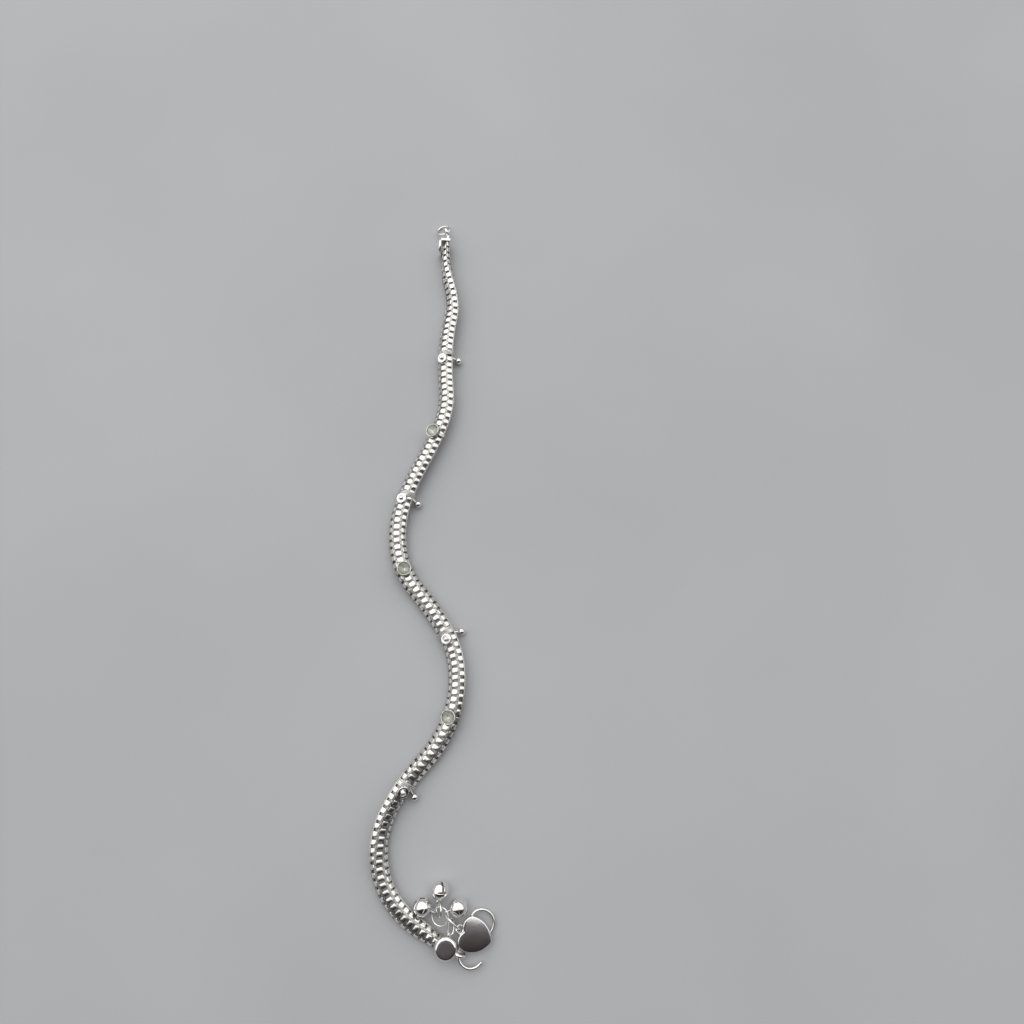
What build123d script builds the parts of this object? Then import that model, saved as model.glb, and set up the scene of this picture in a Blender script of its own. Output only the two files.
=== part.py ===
from build123d import *
import os
from math import acos, asin, atan2, ceil, cos, degrees, hypot, pi, radians, sin, tan

# A payal anklet: a silver chain of small mesh plates that lies open on a table, with set stones and drop balls
# along it, a ring at one end, and an S-hook, a heart charm and three bells at the other. Millimetres.
# The table is Z = 0. The chain runs along Y, its ring end at +Y, and the origin is the middle of its footprint.

# Clearances between separate pieces
GAP = 0.1  # pieces that lie against each other
WRAP_GAP = 0.15  # pieces that go round the curving chain

# Chain: a flattened six-sided tube, narrower over its last stretch at both ends
CHAIN_WIDTH, CHAIN_THICK, CHAIN_FLAT = 5.6, 3.1, 2.6
END_WIDTH, END_THICK, END_FLAT = 3.4, 2.6, 1.5
TAPER = 12.0
SECTION_STEP = 5.0
ARC_SHARE = 0.45  # share of the shorter run that each bend takes

# The chain's line on the table, from its ring end to its hook end: x, y
ROUTE = [
    (0.6, 104.1), (0.2, 95.1), (3.4, 83.6), (1.0, 71.1), (0.8, 59.6), (1.9, 47.1), (-3.2, 34.6),
    (-9.45, 22.6), (-13.25, 9.6), (-11.05, -3.9), (-2.0, -14.4), (5.5, -26.4), (6.45, -39.9),
    (1.95, -52.9), (-8.4, -63.9), (-15.3, -76.4), (-14.3, -90.4), (-5.8, -100.9), (5.5, -106.75),
]

# How far the chain's face is turned toward +X about its own line: distance from the ring end, degrees
ROLLS = [
    (0, -87), (6, -80), (15, -55), (27, -28), (41, -26), (66, -22), (89, -20), (100, -5), (111, 8), (122, 0),
    (135, -18), (150, -18), (158, -10), (172, 2), (186, 28), (197, 25), (208, 0), (218, -8), (229, 0), (240, 0),
]

# Stations along the chain, by distance from its ring end
DROP_STATIONS = (41, 89, 135.5, 182.5)
STONE_STATIONS = (66, 111, 158.5)

# Drop station: a dished collar, a wrapped band beside it, and a ball on a peg at the chain's +X edge
COLLAR_DIAMETER, COLLAR_HEIGHT = 3.2, 0.6
GROOVE_DIAMETER, GROOVE_WIRE = 2.0, 0.3
COLLAR_BALL_DIAMETER = 1.5
BAND_WIDTH, BAND_THICK = 1.6, 0.3
BAND_RUN = 36.0  # over which the chain rises from the table at its ends onto its bands
BAND_OFFSET = 1.9  # from the collar's centre to the band's middle
DROP_BALL_DIAMETER = 2.2
DROP_BALL_OFFSET, DROP_BALL_SPACE = 0.3, 0.42  # from the collar's centre toward the band, and from the chain
PEG_DIAMETER, PEG_DEPTH = 0.7, 0.7

# Stone station: a bezel cup on a band, with a faceted stone
BEZEL_DIAMETER, BEZEL_HEIGHT, BEZEL_FLOOR, BEZEL_EDGE = 4.3, 1.5, 0.35, 0.15
BEZEL_BAND_WIDTH = 0.9
STONE_DIAMETER, STONE_TABLE, STONE_GIRDLE, STONE_CROWN = 3.4, 2.1, 0.9, 0.55
STONE_SIDES = 12

# End cap: a polished disc on the chain's face, a block that closes the chain, a neck and an eye
CAP_DIAMETER, CAP_THICK, CAP_EDGE, CAP_BACK_EDGE = 6.1, 1.1, 0.8, 0.25
CAP_REACH = 1.5  # from the chain's end back to the disc's centre
CAP_LIFT = 1.55  # from the chain's line to the disc's back
BLOCK_WIDTH, BLOCK_LENGTH = 3.4, 1.0
NECK_DIAMETER = 1.1
EYE_DIAMETER, EYE_WIRE = 2.6, 1.05
RING_SIDE_EYE = Plane(origin=(0.5, 108.3, 2.5), z_dir=(0.857, 0.516, 0))
HOOK_SIDE_EYE = Plane(origin=(7.75, -107.6, 1.8), z_dir=(-0.375, -0.9, -0.22))
EYELET_DIAMETER, EYELET_WIRE = 1.5, 0.4
EYELET = Plane(origin=(5.09, -102.65, 3.22), z_dir=(0.87, -0.3, 0.39))
RING_END_HEIGHT, RING_END_FALL = 3.13, 0.07  # the disc stands on its rim, and holds the chain's end up

# End ring, through the ring side's eye, with its far edge on the table
END_RING_DIAMETER, END_RING_WIRE = 4.4, 0.56
END_RING_LEAN = Vector(-0.5, 0.72, -0.48)  # from the eye to the ring's centre

# S-hook: two open loops of one size in a plane that leans to +X
HOOK_WIRE, HOOK_LOOP, HOOK_LEAN = 0.85, 3.4, 6.0
HOOK_PLANE = Plane(origin=(10.85, -108.15, 1.38)).rotated((0, HOOK_LEAN, 0))
UPPER_LOOP = (2.85, 7.85)  # centre, from the lower loop's centre
UPPER_MOUTH, LOWER_MOUTH = 140, 323  # angles of the free ends

# Heart charm: measured along its axis from its tip, lying on the hook
HEART_TIP, HEART_TURN = (5.44, 3.4), 160.0
LOBE_CENTRE, LOBE_RADIUS = (6.15, 1.9), 2.6
LOBE_START = (6.15, 4.5)
HEART_THICK, HEART_EDGE = 0.9, 0.3
BAIL_DIAMETER, BAIL_WIRE = 2.1, 0.52
BAIL = Plane(origin=(7.85, -101.5, 2.4), z_dir=(0.5, 0.2, 0.8))

# Small rings: the ring that two bells hang on, the link to the third, and the ring that gathers them
BELL_RING_DIAMETER, BELL_RING_WIRE = 4.8, 0.4
BELL_RING = Plane(origin=(2.45, -98.35, 2.3)).rotated((0, -17.7, 0))
BELL_LINK_DIAMETER, BELL_LINK_WIRE = 3.6, 0.52
BELL_LINK = Plane(origin=(2.0, -96.7, 2.1), x_dir=(0, 1, 0), z_dir=(0.906, 0, -0.423))
CHARM_RING_DIAMETER, CHARM_RING_WIRE = 5.36, 0.56
CHARM_RING = Plane(origin=(5.85, -99.6, 3.5), z_dir=(-0.655, -0.703, 0.245))
CAP_LINK_START, CAP_LINK_END = Vector(5.32, -102.71, 3.18), Vector(5.54, -99.38, 0.3)
CAP_LINK_NORMAL, CAP_LINK_WIDTH, CAP_LINK_WIRE = Vector(0.39, -0.62, -0.68), 1.63, 0.44

# Bells: hollow balls with a slot, each on a soldered loop
BELL_DIAMETER, BELL_WALL, BELL_SLOT = 5.0, 0.4, 0.5
BELL_HEIGHT = 2.55  # of the centre
LOOP_DIAMETER, LOOP_WIRE, LOOP_REACH = 1.3, 0.4, 3.2
# centre's x and y, the ring that it hangs on, that ring's radius, and the place round the ring in degrees
BELLS = [
    (2.3, -91.7, BELL_LINK, BELL_LINK_DIAMETER / 2, 0),
    (-2.4, -95.9, BELL_RING, BELL_RING_DIAMETER / 2, 150),
    (7.4, -96.1, BELL_RING, BELL_RING_DIAMETER / 2, 36),
]


def bend_radii(points):
    """Radius of the bend at each inner point of a route, as large as its two runs allow."""
    radii = []
    for before, corner, after in zip(points, points[1:], points[2:]):
        arriving = Vector(*corner) - Vector(*before)
        leaving = Vector(*after) - Vector(*corner)
        half_turn = radians(arriving.get_angle(leaving)) / 2
        radii.append(ARC_SHARE * min(arriving.length, leaving.length) / tan(half_turn))
    return radii


with BuildLine() as chain_line:
    FilletPolyline(*ROUTE, radius=bend_radii(ROUTE))
CHAIN_LINE = chain_line.wire()
CHAIN_LENGTH = CHAIN_LINE.length
CHAIN_SPANS = ceil(CHAIN_LENGTH / SECTION_STEP)
CHAIN_CUTS = [CHAIN_LENGTH * index / CHAIN_SPANS for index in range(CHAIN_SPANS + 1)]


def roll_at(distance):
    """Turn of the chain's face at a distance along it, eased from row to row of the table."""
    for (start, first), (end, last) in zip(ROLLS, ROLLS[1:]):
        if distance <= end:
            share = (1 - cos(pi * (distance - start) / (end - start))) / 2
            return first + (last - first) * share


def chain_corners(distance, clearance=0.0):
    """Corners of the chain's section, as (across, out) from its line, grown by a clearance."""
    share = max(0, min(1, distance / TAPER, (CHAIN_LENGTH - distance) / TAPER))
    width = END_WIDTH + (CHAIN_WIDTH - END_WIDTH) * share
    thick = END_THICK + (CHAIN_THICK - END_THICK) * share
    flat = END_FLAT + (CHAIN_FLAT - END_FLAT) * share
    slope = atan2(thick / 2, (width - flat) / 2)
    edge = width / 2 + clearance / sin(slope)
    rise = thick / 2 + clearance
    shoulder = edge - rise / tan(slope)
    return [(edge, 0), (shoulder, rise), (-shoulder, rise), (-edge, 0), (-shoulder, -rise), (shoulder, -rise)]


def line_height(distance):
    """Height of the chain's line: the chain is carried by its bands, and at its ring end by the disc."""
    turn = radians(roll_at(distance))
    band_share = min(1, distance / BAND_RUN, (CHAIN_LENGTH - distance) / BAND_RUN)
    wrapped = chain_corners(distance, (WRAP_GAP + BAND_THICK) * band_share)
    depth = max(across * sin(turn) - out * cos(turn) for across, out in wrapped)
    return max(depth, RING_END_HEIGHT - RING_END_FALL * distance)


def section_plane(distance):
    """Plane across the chain: its X runs across the face, its Y out of the face, its Z along the chain."""
    place = CHAIN_LINE.position_at(distance, position_mode=PositionMode.LENGTH)
    along = CHAIN_LINE.tangent_at(distance, position_mode=PositionMode.LENGTH)
    side = Vector(-along.Y, along.X, 0)
    turn = radians(roll_at(distance))
    across = side * cos(turn) - Vector(0, 0, 1) * sin(turn)
    return Plane(origin=place + Vector(0, 0, line_height(distance)), x_dir=across, z_dir=along)


def face_plane(distance):
    """Plane along the chain's face: its X runs across, its Y back toward the ring end, its Z out of the face."""
    section = section_plane(distance)
    return Plane(origin=section.origin, x_dir=section.x_dir, z_dir=section.y_dir)


def save(part, name):
    """Labels a finished piece and writes it."""
    part.label = name
    export_step(part, f"parts/{name}.step")


def save_ring(name, plane, diameter, wire):
    """A plain closed ring, by the diameter of its wire's centre line."""
    with BuildPart(plane) as ring:
        Torus(diameter / 2, wire / 2)
    save(ring.part, name)


def save_end_cap(name, distance, outward, eye, eyelet=None):
    """An end cap in one soldered piece. Outward is +1 or -1 along its face plane's Y."""
    face = face_plane(distance)
    block_start = CAP_REACH + GAP
    neck_start = face.from_local_coords(Vector(0, outward * (block_start + BLOCK_LENGTH / 2), 0))
    eye_to_neck = neck_start - eye.origin
    eye_spoke = (eye_to_neck - eye.z_dir * eye_to_neck.dot(eye.z_dir)).normalized()
    neck_end = eye.origin + eye_spoke * EYE_DIAMETER / 2
    with BuildPart() as cap:
        with BuildSketch(face.offset(CAP_LIFT)):
            Circle(CAP_DIAMETER / 2)
        extrude(amount=CAP_THICK)
        back, front = cap.edges().filter_by(GeomType.CIRCLE).sort_by(Axis(face.origin, face.z_dir))
        fillet(front, CAP_EDGE)
        fillet(back, CAP_BACK_EDGE)
        with BuildSketch(face.offset(-END_THICK / 2)):
            with Locations((0, outward * (block_start + BLOCK_LENGTH / 2))):
                Rectangle(BLOCK_WIDTH, BLOCK_LENGTH)
        extrude(amount=END_THICK / 2 + CAP_LIFT + CAP_BACK_EDGE)
        with BuildLine() as neck:
            Line(neck_start, neck_end)
        with BuildSketch(Plane(origin=neck_start, z_dir=neck_end - neck_start)):
            Circle(NECK_DIAMETER / 2)
        sweep(path=neck.wire())
        with Locations(eye):
            Torus(EYE_DIAMETER / 2, EYE_WIRE / 2)
        if eyelet:
            with Locations(eyelet):
                Torus(EYELET_DIAMETER / 2, EYELET_WIRE / 2)
    save(cap.part, name)


def chain_tube(cuts, clearance=0.0):
    """The chain as a closed tube through its sections at some distances, grown by a clearance."""
    with BuildPart() as tube:
        for cut in cuts:
            with BuildSketch(section_plane(cut)):
                Polygon(*chain_corners(cut, clearance), align=None)
        loft(ruled=True)
    return tube.part


def band(distance, width):
    """A band round the chain, with the chain's own space still in it."""
    with BuildPart() as wrap:
        with BuildSketch(section_plane(distance)):
            Polygon(*chain_corners(distance, WRAP_GAP + BAND_THICK), align=None)
        extrude(amount=width / 2, both=True)
    return wrap.part


def chain_space(distance):
    """The chain's space round a station, with the clearance of what wraps it."""
    return chain_tube([cut for cut in CHAIN_CUTS if abs(cut - distance) < 2 * SECTION_STEP], WRAP_GAP)


def ball_centre(distance):
    """Centre of a drop ball: beside the chain's +X edge, just clear of the table."""
    section = section_plane(distance)
    side = Vector(-section.z_dir.Y, section.z_dir.X, 0)
    turn = radians(roll_at(distance))
    edge = max(across * cos(turn) + out * sin(turn) for across, out in chain_corners(distance))
    centre = section.origin + side * (edge + DROP_BALL_SPACE + DROP_BALL_DIAMETER / 2)
    return Vector(centre.X, centre.Y, DROP_BALL_DIAMETER / 2 + GAP / 2)


os.makedirs("parts", exist_ok=True)

mesh_chain = chain_tube(CHAIN_CUTS)
save(mesh_chain, "mesh_chain")

# Drop stations: collar, wrapped band and peg in one piece, and the ball that sits on the peg
for number, distance in enumerate(DROP_STATIONS, 1):
    face = face_plane(distance)
    collar_base = CHAIN_THICK / 2 + WRAP_GAP
    collar_top = collar_base + COLLAR_HEIGHT
    band_place = distance - BAND_OFFSET
    centre = ball_centre(distance - DROP_BALL_OFFSET)
    peg_foot = section_plane(band_place).origin
    inward = (peg_foot - centre).normalized()
    peg_tip = centre + inward * (DROP_BALL_DIAMETER / 2 - PEG_DEPTH)
    with BuildPart() as station:
        with BuildSketch(face.offset(collar_base)):
            Circle(COLLAR_DIAMETER / 2)
        extrude(amount=COLLAR_HEIGHT)
        fillet(station.faces().sort_by(Axis(face.origin, face.z_dir))[-1].edges(), COLLAR_HEIGHT / 3)
        with Locations(face.offset(collar_top)):
            Torus(GROOVE_DIAMETER / 2, GROOVE_WIRE / 2, mode=Mode.SUBTRACT)
            Sphere(COLLAR_BALL_DIAMETER / 2)
        add(band(band_place, BAND_WIDTH))
        with BuildLine() as peg:
            Line(peg_tip, peg_foot)
        with BuildSketch(Plane(origin=peg_tip, z_dir=inward)):
            Circle(PEG_DIAMETER / 2)
        sweep(path=peg.wire())
        add(chain_space(distance), mode=Mode.SUBTRACT)
    save(station.part, f"drop_station_{number}")
    with BuildPart(Plane(origin=centre, z_dir=inward)) as ball:
        Sphere(DROP_BALL_DIAMETER / 2)
        with Locations((0, 0, DROP_BALL_DIAMETER / 2)):
            Cylinder(PEG_DIAMETER / 2 + GAP, 2 * (PEG_DEPTH + GAP), mode=Mode.SUBTRACT)
    save(ball.part, f"drop_ball_{number}")

# Stone stations: bezel cup on a hidden band, and the stone in it
for number, distance in enumerate(STONE_STATIONS, 1):
    face = face_plane(distance)
    seat = CHAIN_THICK / 2 + WRAP_GAP
    stone_base = seat + BEZEL_FLOOR + GAP
    with BuildPart() as bezel:
        with BuildSketch(face.offset(seat)):
            Circle(BEZEL_DIAMETER / 2)
        extrude(amount=BEZEL_HEIGHT)
        top = bezel.faces().sort_by(Axis(face.origin, face.z_dir))[-1]
        fillet(top.edges(), BEZEL_EDGE)
        add(band(distance, BEZEL_BAND_WIDTH))
        add(chain_space(distance), mode=Mode.SUBTRACT)
        with BuildSketch(face.offset(seat + BEZEL_FLOOR)):
            Circle(STONE_DIAMETER / 2 + GAP)
        extrude(amount=BEZEL_HEIGHT, mode=Mode.SUBTRACT)
    save(bezel.part, f"bezel_{number}")
    with BuildPart() as stone:
        with BuildSketch(face.offset(stone_base)):
            RegularPolygon(STONE_DIAMETER / 2, STONE_SIDES)
        extrude(amount=STONE_GIRDLE)
        with BuildSketch(face.offset(stone_base + STONE_GIRDLE)):
            RegularPolygon(STONE_DIAMETER / 2, STONE_SIDES)
        with BuildSketch(face.offset(stone_base + STONE_GIRDLE + STONE_CROWN)):
            RegularPolygon(STONE_TABLE / 2, STONE_SIDES)
        loft(ruled=True)
    save(stone.part, f"stone_{number}")

# End caps
save_end_cap("end_cap_ring_side", CAP_REACH, 1, RING_SIDE_EYE)
save_end_cap("end_cap_hook_side", CHAIN_LENGTH - CAP_REACH, -1, HOOK_SIDE_EYE, EYELET)

# End ring
lean = END_RING_LEAN.normalized()
ring_plane = Plane(
    origin=RING_SIDE_EYE.origin + lean * END_RING_DIAMETER / 2,
    x_dir=RING_SIDE_EYE.z_dir,
    z_dir=lean.cross(RING_SIDE_EYE.z_dir),
)
save_ring("end_ring", ring_plane, END_RING_DIAMETER, END_RING_WIRE)

# S-hook: upper loop, straight shank and lower loop, with round ends
axis_angle = degrees(atan2(UPPER_LOOP[1], UPPER_LOOP[0]))
shank_angle = degrees(acos(2 * HOOK_LOOP / hypot(*UPPER_LOOP)))
upper_end = axis_angle + 180 + shank_angle - 360
lower_start = axis_angle + shank_angle
with BuildPart() as s_hook:
    with BuildLine(HOOK_PLANE) as hook_line:
        upper_arc = CenterArc(UPPER_LOOP, HOOK_LOOP, UPPER_MOUTH, upper_end - UPPER_MOUTH)
        lower_arc = CenterArc((0, 0), HOOK_LOOP, lower_start, LOWER_MOUTH - lower_start)
        Line(upper_arc @ 1, lower_arc @ 0)
    with BuildSketch(Plane(origin=hook_line.line @ 0, z_dir=hook_line.line % 0)):
        Circle(HOOK_WIRE / 2)
    sweep(path=hook_line.wire())
    with Locations(hook_line.line @ 0, hook_line.line @ 1):
        Sphere(HOOK_WIRE / 2)
save(s_hook.part, "s_hook")

# Heart charm: a plate with a raised face inside its rim, and its bail
heart_back = HOOK_PLANE.offset(HOOK_WIRE / 2 + GAP)
heart_plane = Plane(heart_back.location * Location(HEART_TIP, HEART_TURN))
lobe_start_angle = degrees(atan2(LOBE_START[1] - LOBE_CENTRE[1], LOBE_START[0] - LOBE_CENTRE[0]))
notch_angle = -degrees(asin(LOBE_CENTRE[1] / LOBE_RADIUS))
with BuildSketch() as heart_outline:
    with BuildLine():
        lobe = CenterArc(LOBE_CENTRE, LOBE_RADIUS, notch_angle, lobe_start_angle - notch_angle)
        TangentArc(lobe @ 1, (0, 0), tangent=lobe % 1)
        mirror(about=Plane.XZ)
    make_face()
with BuildPart() as heart_charm:
    with BuildSketch(heart_plane):
        add(heart_outline.sketch)
    extrude(amount=HEART_THICK - HEART_EDGE)
    with BuildSketch(heart_plane):
        add(heart_outline.sketch)
        offset(amount=-HEART_EDGE, mode=Mode.REPLACE)
    extrude(amount=HEART_THICK)
    with Locations(BAIL):
        Torus(BAIL_DIAMETER / 2, BAIL_WIRE / 2)
save(heart_charm.part, "heart_charm")

# Bells, each with its loop round the wire that it hangs on, and its slot on the far side
for number, (x, y, ring, radius, place) in enumerate(BELLS, 1):
    centre = Vector(x, y, BELL_HEIGHT)
    spoke = Vector(cos(radians(place)), sin(radians(place)), 0)
    hanger = ring.from_local_coords(spoke * radius)
    wire_direction = ring.from_local_coords(Vector(-spoke.Y, spoke.X, 0)) - ring.origin
    toward_ring = (hanger - centre).normalized()
    across_loop = wire_direction - toward_ring * wire_direction.dot(toward_ring)
    bell_plane = Plane(origin=centre, x_dir=across_loop, z_dir=toward_ring)
    with BuildPart(bell_plane) as bell:
        Sphere(BELL_DIAMETER / 2)
        Sphere(BELL_DIAMETER / 2 - BELL_WALL, mode=Mode.SUBTRACT)
        with Locations((0, 0, -BELL_DIAMETER / 2)):
            Box(BELL_DIAMETER, BELL_SLOT, BELL_DIAMETER * 0.8, mode=Mode.SUBTRACT)
        with Locations(Location((0, 0, LOOP_REACH), (0, 90, 0))):
            Torus(LOOP_DIAMETER / 2, LOOP_WIRE / 2)
    save(bell.part, f"bell_{number}")

# Small rings and the link to the end cap
save_ring("bell_ring", BELL_RING, BELL_RING_DIAMETER, BELL_RING_WIRE)
save_ring("bell_link", BELL_LINK, BELL_LINK_DIAMETER, BELL_LINK_WIRE)
save_ring("charm_ring", CHARM_RING, CHARM_RING_DIAMETER, CHARM_RING_WIRE)
link_run = CAP_LINK_END - CAP_LINK_START
link_plane = Plane(
    origin=(CAP_LINK_START + CAP_LINK_END) / 2,
    x_dir=link_run,
    z_dir=CAP_LINK_NORMAL - link_run * (CAP_LINK_NORMAL.dot(link_run) / link_run.length**2),
)
with BuildPart() as cap_link:
    with BuildLine(link_plane) as link_line:
        straight = (link_run.length - CAP_LINK_WIDTH) / 2
        upper = Line((-straight, CAP_LINK_WIDTH / 2), (straight, CAP_LINK_WIDTH / 2))
        far_bend = CenterArc((straight, 0), CAP_LINK_WIDTH / 2, 90, -180)
        Line((straight, -CAP_LINK_WIDTH / 2), (-straight, -CAP_LINK_WIDTH / 2))
        CenterArc((-straight, 0), CAP_LINK_WIDTH / 2, 270, -180)
    with BuildSketch(Plane(origin=upper @ 0, z_dir=upper % 0)):
        Circle(CAP_LINK_WIRE / 2)
    sweep(path=link_line.wire())
save(cap_link.part, "cap_link")

print(f"chain: {CHAIN_LENGTH:.1f} mm long, {mesh_chain.volume:.0f} mm3")
print("bend radii, mm:", " ".join(f"{radius:.1f}" for radius in bend_radii(ROUTE)))
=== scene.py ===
import random
from math import acos, asin, atan2, cos, degrees, hypot, pi, radians, sin, tan, tau

import bmesh
import bpy
from mathutils import Matrix, Vector


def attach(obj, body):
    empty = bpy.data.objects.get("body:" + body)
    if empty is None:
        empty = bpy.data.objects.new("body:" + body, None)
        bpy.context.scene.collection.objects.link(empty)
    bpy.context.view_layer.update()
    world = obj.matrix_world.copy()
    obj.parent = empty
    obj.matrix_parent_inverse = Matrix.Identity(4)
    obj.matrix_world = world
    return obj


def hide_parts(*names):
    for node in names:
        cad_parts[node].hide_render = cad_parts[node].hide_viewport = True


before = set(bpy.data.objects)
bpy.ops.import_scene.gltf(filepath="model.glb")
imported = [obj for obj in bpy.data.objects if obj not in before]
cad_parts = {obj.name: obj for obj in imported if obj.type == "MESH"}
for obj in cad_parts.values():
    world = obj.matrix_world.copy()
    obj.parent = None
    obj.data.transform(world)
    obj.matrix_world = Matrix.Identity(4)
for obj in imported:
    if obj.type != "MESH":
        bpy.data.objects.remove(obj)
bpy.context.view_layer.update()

# Table: a large flat board under matt pale grey paint, which the anklet lies on. It isn't part of the anklet,
# and its top is a hair lower than the anklet's underside, so that the two never share a surface.
MM = 0.001  # the sizes of every piece are in millimetres
TABLE_SIZE, TABLE_DROP = 3000.0, 0.02
PAINT_CLOUD = 1000 / 9  # width of one cloud in the paint's tone


def linear(hex_colour):
    """An sRGB hex colour as linear red, green, blue and alpha."""
    channels = [int(hex_colour[start:start + 2], 16) / 255 for start in (1, 3, 5)]
    return [c / 12.92 if c <= 0.04045 else ((c + 0.055) / 1.055) ** 2.4 for c in channels] + [1.0]


def add_node(tree, kind, inputs=None, **settings):
    """Adds a shader node with its settings, and gives its inputs values or links."""
    node = tree.nodes.new("ShaderNode" + kind)
    for name, value in settings.items():
        setattr(node, name, value)
    for name, value in (inputs or {}).items():
        if isinstance(value, bpy.types.NodeSocket):
            tree.links.new(value, node.inputs[name])
        else:
            node.inputs[name].default_value = value
    return node


def new_material(name):
    """An empty material: its node tree, and the socket that takes its surface."""
    material = bpy.data.materials.new(name)
    material.use_nodes = True
    tree = material.node_tree
    tree.nodes.clear()
    output = add_node(tree, "OutputMaterial")
    return material, tree, output.inputs["Surface"]


def colour_ramp(tree, factor, *stops):
    """A ramp through hex colours at given places."""
    ramp = add_node(tree, "ValToRGB", {"Fac": factor})
    while len(ramp.color_ramp.elements) < len(stops):
        ramp.color_ramp.elements.new(1.0)
    for element, (place, colour) in zip(ramp.color_ramp.elements, stops):
        element.position, element.color = place, linear(colour)
    return ramp.outputs["Color"]


def new_piece(name, bm, *materials, smooth=None):
    """Makes a piece from a mesh in millimetres, smooth across edges up to an angle in degrees."""
    bmesh.ops.scale(bm, verts=bm.verts, vec=(MM, MM, MM))
    mesh = bpy.data.meshes.new(name)
    bm.to_mesh(mesh)
    bm.free()
    for material in materials:
        mesh.materials.append(material)
    if smooth is not None:
        mesh.shade_smooth()
        mesh.set_sharp_from_angle(angle=radians(smooth))
    piece = bpy.data.objects.new(name, mesh)
    bpy.context.scene.collection.objects.link(piece)
    return piece


matt_paint, tree, surface = new_material("matt_table_paint")
place = add_node(tree, "TexCoord").outputs["Object"]
cloudy = add_node(tree, "TexNoise", {"Vector": place, "Scale": 1 / (PAINT_CLOUD * MM), "Detail": 3.0})
paint = add_node(tree, "BsdfPrincipled", {
    "Base Color": colour_ramp(tree, cloudy.outputs["Fac"], (0.3, "#b7b8ba"), (0.7, "#bebfc1")),
    "Roughness": 0.65,
    "Specular IOR Level": 0.3,
})
tree.links.new(paint.outputs["BSDF"], surface)
bm = bmesh.new()
bmesh.ops.create_grid(bm, x_segments=1, y_segments=1, size=TABLE_SIZE / 2)
bmesh.ops.translate(bm, verts=bm.verts, vec=(0, 0, -TABLE_DROP))
new_piece("table_top", bm, matt_paint)

# Studio: a soft white dome on grey walls. A dark zone covers its near side, where a person leans over the
# table, so that polished silver has something dark to mirror. Low down, the walls are grey all round, under
# that zone too. One wide lamp stands beyond the ring end. Its size and place are in metres.
PERSON_SIDE = (0.26, -0.97, 0)
DOME_STRENGTH = 1.2
LAMP_PLACE, LAMP_TARGET = (-0.25, 0.55, 0.60), (0.0, 0.0, 0.0)
LAMP_SIZE, LAMP_WATTS = 1.0, 2.0

world = bpy.data.worlds.new("studio_dome")
world.use_nodes = True
bpy.context.scene.world = world
tree = world.node_tree
direction = add_node(tree, "TexCoord").outputs["Generated"]
# the dark zone's edge runs straight across on the right, and draws back to the near side on the left
left_half = add_node(tree, "VectorMath", {0: direction, 1: (0, 1, 1)}, operation="MINIMUM")
toward_person = add_node(
    tree, "VectorMath", {0: left_half.outputs["Vector"], 1: PERSON_SIDE}, operation="DOT_PRODUCT")
dome = colour_ramp(
    tree, toward_person.outputs["Value"],
    (0.07, "#ffffff"), (0.11, "#e6e7e8"), (0.17, "#6a686a"), (0.25, "#504c4e"), (0.42, "#2e2a2b"))
height = add_node(tree, "SeparateXYZ", {"Vector": direction}).outputs["Z"]
shade = colour_ramp(tree, height, (0.0, "#666669"), (0.2, "#8a8a8c"), (0.42, "#ffffff"))
lit_dome = add_node(tree, "VectorMath", {0: dome, 1: shade}, operation="MULTIPLY")
low_walls = colour_ramp(
    tree, height, (0.0, "#a0a0a2"), (0.15, "#747476"), (0.45, "#2c2b2c"), (0.7, "#000000"))
room = add_node(tree, "VectorMath", {0: lit_dome.outputs["Vector"], 1: low_walls}, operation="MAXIMUM")
tree.links.new(room.outputs["Vector"], tree.nodes["Background"].inputs["Color"])
tree.nodes["Background"].inputs["Strength"].default_value = DOME_STRENGTH

lamp = bpy.data.lights.new("window_lamp", "AREA")
lamp.size = LAMP_SIZE
lamp.energy = LAMP_WATTS
lamp_stand = bpy.data.objects.new("window_lamp", lamp)
lamp_stand.location = LAMP_PLACE
lamp_aim = Vector(LAMP_TARGET) - Vector(LAMP_PLACE)
lamp_stand.rotation_euler = lamp_aim.to_track_quat("-Z", "Y").to_euler()
bpy.context.scene.collection.objects.link(lamp_stand)

# Camera: held in the hand above the table, a little to the near side and tilted a little toward the ring
# end. Its place and near clip are in metres, and its lens is in millimetres.
CAMERA_PLACE, CAMERA_TILT = (0.0220, -0.0354, 0.2306), 12.3
CAMERA_LENS, CAMERA_NEAR = 27.07, 0.01

camera_data = bpy.data.cameras.new("camera")
camera_data.lens = CAMERA_LENS
camera_data.clip_start = CAMERA_NEAR
camera = bpy.data.objects.new("camera", camera_data)
camera.location = CAMERA_PLACE
camera.rotation_euler = (radians(CAMERA_TILT), 0, 0)
bpy.context.scene.collection.objects.link(camera)
bpy.context.scene.camera = camera
bpy.context.scene.view_settings.view_transform = "Standard"

# Mesh chain: a flattened six-sided tube of small die-pressed silver plates in six columns. Each plate is a
# pillow with a rounded rim, and its legs hook down between the plates of the columns beside it.
CHAIN_LENGTH = 234.3
CHAIN_WIDTH, CHAIN_THICK, CHAIN_FLAT = 5.6, 3.1, 2.6  # flat is the width of its face
END_WIDTH, END_THICK, END_FLAT = 3.4, 2.6, 1.5  # the same where the end caps close on it
TAPER = 12.0
WRAP_GAP, WRAP_THICK, WRAP_RUN = 0.15, 0.3, 36.0  # room under the chain for what is wrapped round it
RING_END_HEIGHT, RING_END_FALL = 3.13, 0.07  # it hangs down from the cap that stands on its rim
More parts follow.
